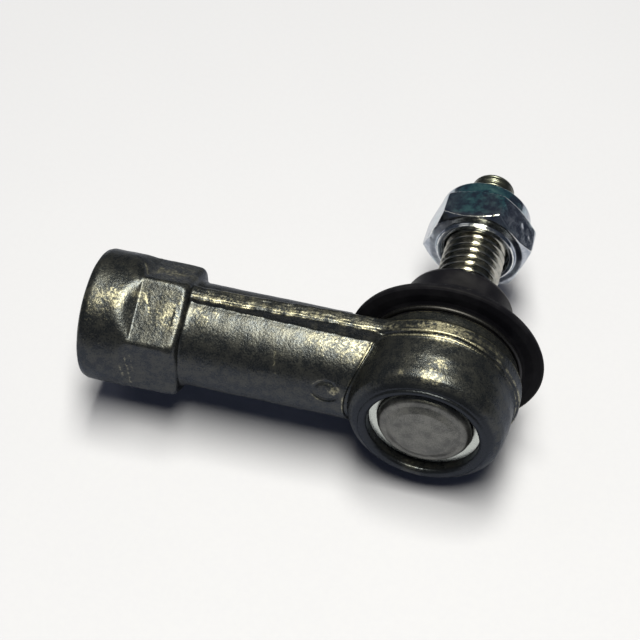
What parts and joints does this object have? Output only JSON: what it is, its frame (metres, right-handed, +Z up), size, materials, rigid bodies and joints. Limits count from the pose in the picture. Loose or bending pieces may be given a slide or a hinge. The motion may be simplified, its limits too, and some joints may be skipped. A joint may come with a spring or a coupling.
{
  "type": "tie rod end",
  "caption": "Steering tie rod end: forged eye on a shank with a tapped wrench boss, ball stud, rubber dust boot and locking nut.",
  "frame": {"origin": "centre of the stud's ball, the point about which the stud swings", "axes": "+Y along the stud from the ball to its tip, -X along the shank to its tapped end, +Z up as the part lies on its side"},
  "size_m": [0.0843, 0.0648, 0.0368],
  "materials": {
    "forging": "forged steel, dark and worn bright on its edges",
    "pressed_steel": "pressed steel, dull grey",
    "bright_steel": "smooth bright steel",
    "spring_steel": "dark spring steel",
    "stud_steel": "machined and rolled steel",
    "zinc_plate": "blue-white zinc plate",
    "seat_plastic": "acetal",
    "insert_nylon": "nylon",
    "boot_rubber": "satin black rubber"
  },
  "bodies": {
    "housing": {"housing": "forging", "upper_seat": "seat_plastic", "lower_seat": "seat_plastic", "preload_spring": "spring_steel", "cover_plug": "pressed_steel", "retaining_ring": "bright_steel", "boot_clamp_ring": "spring_steel"},
    "boot": {"dust_boot": "boot_rubber"},
    "boot_neck": {"boot_neck_ring": "pressed_steel"},
    "stud": {"ball_stud": "stud_steel"},
    "insert": {"nut_insert": "insert_nylon"},
    "nut": {"lock_nut": "zinc_plate"}
  },
  "joints": [
    {"name": "stud_rock", "type": "hinge", "parent": "housing", "child": "boot", "pos_m": [0, 0, 0], "axis": [1, 0, 0], "range_deg": [-18, 18], "deforming": ["dust_boot"]},
    {"name": "stud_swing", "type": "hinge", "parent": "boot", "child": "boot_neck", "pos_m": [0, 0, 0], "axis": [0, 0, 1], "range_deg": [-18, 18]},
    {"name": "stud_spin", "type": "hinge", "parent": "boot_neck", "child": "stud", "pos_m": [0, 0, 0], "axis": [0, 1, 0], "continuous": true},
    {"name": "nut_travel", "type": "slide", "parent": "stud", "child": "insert", "axis": [0, 1, 0], "range_m": [-0.013, 0.036]},
    {"name": "nut_turn", "type": "hinge", "parent": "insert", "child": "nut", "pos_m": [0, 0, 0], "axis": [0, 1, 0], "range_deg": [-2720, 7480]}
  ],
  "couplings": [
    {"joint": "nut_turn", "follows": "nut_travel", "rad_per_m": 3590.4}
  ]
}
